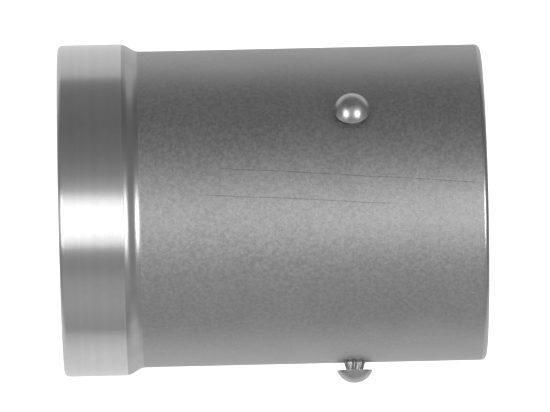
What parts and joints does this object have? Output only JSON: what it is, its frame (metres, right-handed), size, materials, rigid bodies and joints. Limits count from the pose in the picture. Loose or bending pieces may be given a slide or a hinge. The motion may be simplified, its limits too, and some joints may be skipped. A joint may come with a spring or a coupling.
{
  "type": "rigid sleeve coupling",
  "caption": "Rigid sleeve coupling: a plain turned tube with a shallow collar at one end, fastened through its wall by partly driven round-head drive screws.",
  "frame": {"origin": "on the bore axis at the part's centre of mass, 36.5 mm from the collar's end face", "axes": "+Z along the bore axis from the collar end to the plain end; drive_screw_1 points along -Y, and the other two are 120 degrees round to either side"},
  "size_m": [0.06, 0.0622, 0.0762],
  "materials": {
    "blasted_aluminium": "fine bead-blasted body, fine-turned collar, smooth shoulder and rounded ends, turned bore",
    "zinc_plated_steel": "bright zinc plating on hardened steel, smooth heads"
  },
  "bodies": {
    "sleeve": {"sleeve": "blasted_aluminium"},
    "drive_screw_1": {"drive_screw_1": "zinc_plated_steel"},
    "drive_screw_2": {"drive_screw_2": "zinc_plated_steel"},
    "drive_screw_3": {"drive_screw_3": "zinc_plated_steel"}
  },
  "joints": [
    {"name": "drive_in_1", "type": "slide", "parent": "sleeve", "child": "drive_screw_1", "axis": [0, 1, 0], "range_m": [0, 0.0013]},
    {"name": "drive_in_2", "type": "slide", "parent": "sleeve", "child": "drive_screw_2", "axis": [-0.866, -0.5, 0], "range_m": [0, 0.0013]},
    {"name": "drive_in_3", "type": "slide", "parent": "sleeve", "child": "drive_screw_3", "axis": [0.866, -0.5, 0], "range_m": [0, 0.0013]}
  ]
}
